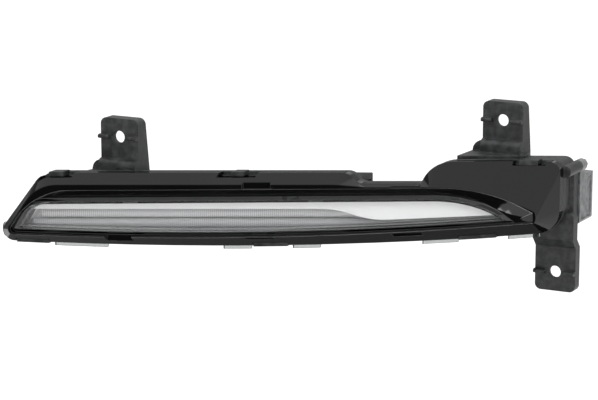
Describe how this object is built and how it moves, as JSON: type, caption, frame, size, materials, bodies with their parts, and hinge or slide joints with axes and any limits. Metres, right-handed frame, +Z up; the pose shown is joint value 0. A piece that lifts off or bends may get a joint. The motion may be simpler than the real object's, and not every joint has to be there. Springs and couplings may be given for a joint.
{
  "type": "vehicle indicator lamp",
  "caption": "Slim car bumper indicator lamp with a clear lens strip in a gloss black bezel, light guides, a housing with mounting tabs and a finned heat sink.",
  "frame": {"origin": "centre of the hole in the upper outer tab, on the tab's front face", "axes": "+X outboard along the car's width, +Y rearward along the car, +Z up"},
  "size_m": [0.3262, 0.2243, 0.1249],
  "materials": {
    "housing_black": "textured matte black",
    "bezel_gloss_black": "polished piano black",
    "clear_lens": "polished clear polycarbonate",
    "white_trim": "satin white",
    "clear_guide": "polished clear acrylic",
    "silver_reflector": "satin silvered",
    "screw_steel": "zinc plated",
    "holder_plastic": "matte pale grey",
    "board_laminate": "lacquered green",
    "diode_package": "pale yellow phosphor",
    "pad_rubber": "soft grey",
    "seal_rubber": "soft black",
    "die_cast_aluminium": "raw die casting",
    "chip_plastic": "matte black",
    "capacitor_can": "drawn can",
    "pin_brass": "tinned brass",
    "connector_plastic": "matte black"
  },
  "bodies": {
    "root": {"housing": "housing_black", "front_bezel": "bezel_gloss_black", "outer_lens": "clear_lens", "lens_seal": "seal_rubber", "white_blade": "white_trim", "upper_light_guide": "clear_guide", "lower_light_guide": "clear_guide", "reflector_tray": "silver_reflector", "tray_screws": "screw_steel", "light_guide_holder": "holder_plastic", "led_board": "board_laminate", "leds": "diode_package", "thermal_pad": "pad_rubber", "led_board_screws": "screw_steel", "heat_sink": "die_cast_aluminium", "heat_sink_gasket": "seal_rubber", "heat_sink_screws": "screw_steel", "driver_board": "board_laminate", "driver_board_screws": "screw_steel", "driver_chips": "chip_plastic", "driver_capacitors": "capacitor_can", "board_link_pins": "pin_brass", "connector_socket": "connector_plastic", "connector_terminals": "pin_brass", "connector_seal": "seal_rubber", "vent_cap": "seal_rubber"}
  },
  "joints": []
}
